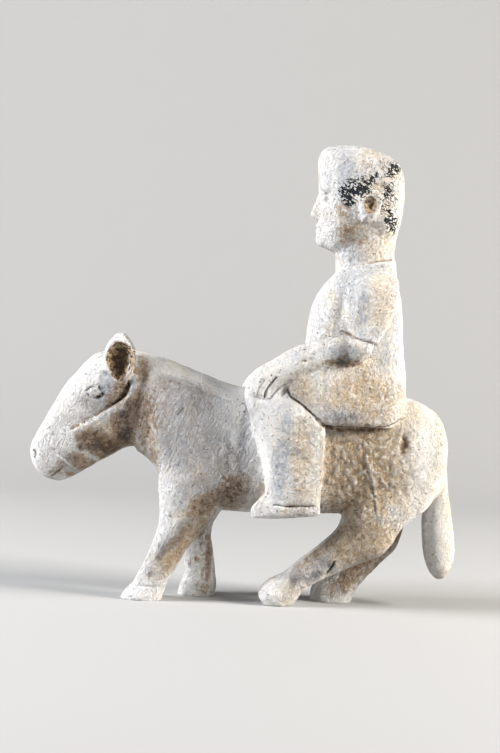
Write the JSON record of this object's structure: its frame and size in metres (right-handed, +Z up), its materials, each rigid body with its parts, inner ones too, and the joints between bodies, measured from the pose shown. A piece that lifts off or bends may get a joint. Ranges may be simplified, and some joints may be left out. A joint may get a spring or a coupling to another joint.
{
  "type": "horse and rider figure",
  "caption": "Carved figure of a rider with hands laid on the knees, seated on a standing horse; an ornament that rests on its hooves.",
  "frame": {"origin": "middle of the figure's bounding box, at the level of the hooves' soles", "axes": "+Z up, -X the way the horse faces, -Y its left side"},
  "size_m": [0.2812, 0.0841, 0.3002],
  "materials": {
    "worn_white_ground": "carved wood under a worn, chalky white ground with brown dirt in the hollows"
  },
  "bodies": {
    "root": {"horse_and_rider": "worn_white_ground"}
  },
  "joints": []
}
